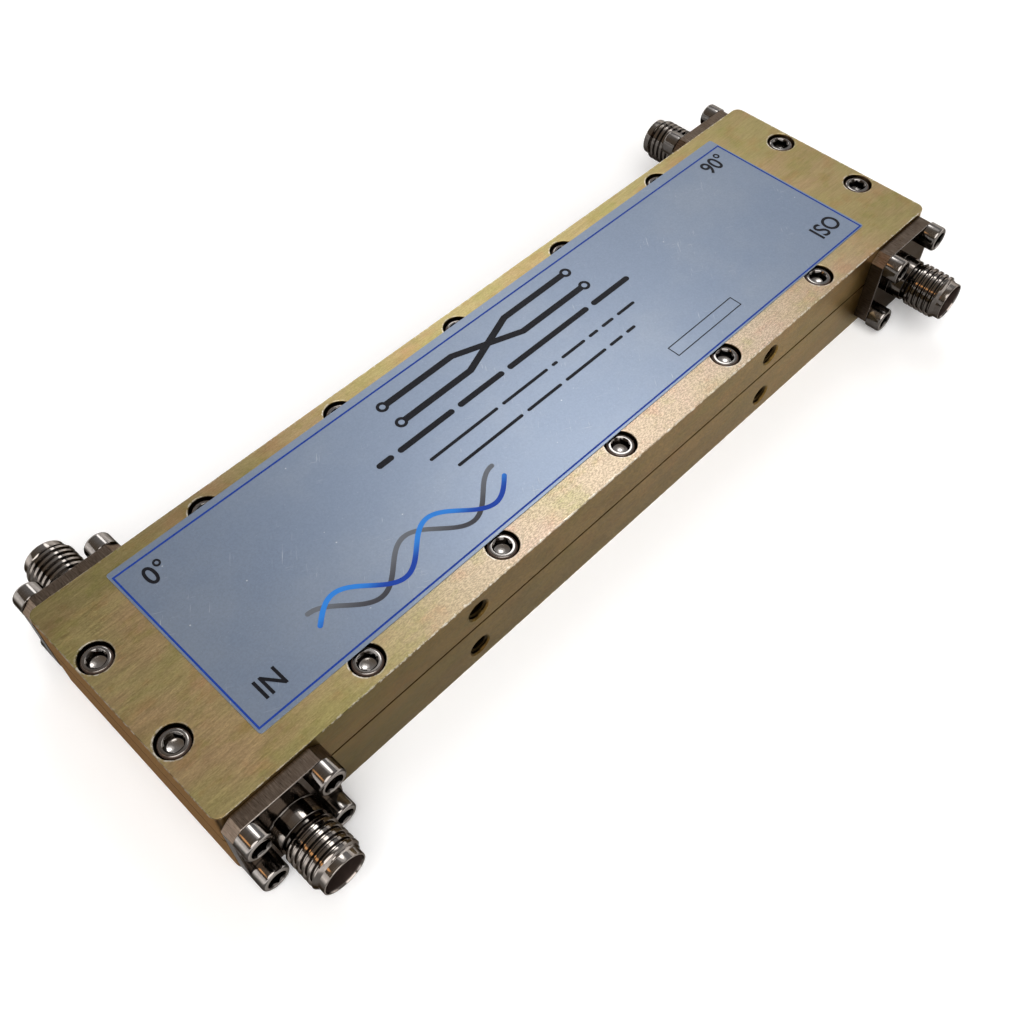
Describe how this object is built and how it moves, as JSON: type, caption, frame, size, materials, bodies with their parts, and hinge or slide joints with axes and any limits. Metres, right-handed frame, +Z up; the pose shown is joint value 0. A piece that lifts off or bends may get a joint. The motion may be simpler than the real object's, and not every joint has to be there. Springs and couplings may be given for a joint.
{
  "type": "hybrid coupler",
  "caption": "Flat two-part gold metal housing with threaded coaxial jacks at its four corners; splits a radio signal into two equal halves a quarter turn apart.",
  "frame": {"origin": "centre of the base's footprint, on the face that it rests on", "axes": "+X along the housing from the input end to the isolated end, +Y from the input side to the side of the zero and ninety degree jacks, +Z up through the label"},
  "size_m": [0.127, 0.0548, 0.0144],
  "materials": {
    "housing_gold": "machined, pale gold chromate film, fine grain",
    "label_foil": "satin metallised film with dark print",
    "jack_steel": "turned, bright",
    "screw_steel": "polished",
    "pin_steel": "ground",
    "insulator_white": "waxy white",
    "contact_gold": "gold plated",
    "track_copper": "bare copper",
    "board_laminate": "pale laminate"
  },
  "bodies": {
    "root": {"upper_housing": "housing_gold", "lower_housing": "housing_gold", "label": "label_foil", "housing_screws": "screw_steel", "locating_pins": "pin_steel", "lower_ground_board": "board_laminate", "centre_board": "board_laminate", "upper_ground_board": "board_laminate", "lower_track": "track_copper", "upper_track": "track_copper", "input_jack": "jack_steel", "input_insulator": "insulator_white", "input_contact": "contact_gold", "input_flange_screws": "screw_steel", "isolated_jack": "jack_steel", "isolated_insulator": "insulator_white", "isolated_contact": "contact_gold", "isolated_flange_screws": "screw_steel", "zero_degree_jack": "jack_steel", "zero_degree_insulator": "insulator_white", "zero_degree_contact": "contact_gold", "zero_degree_flange_screws": "screw_steel", "ninety_degree_jack": "jack_steel", "ninety_degree_insulator": "insulator_white", "ninety_degree_contact": "contact_gold", "ninety_degree_flange_screws": "screw_steel"}
  },
  "joints": []
}
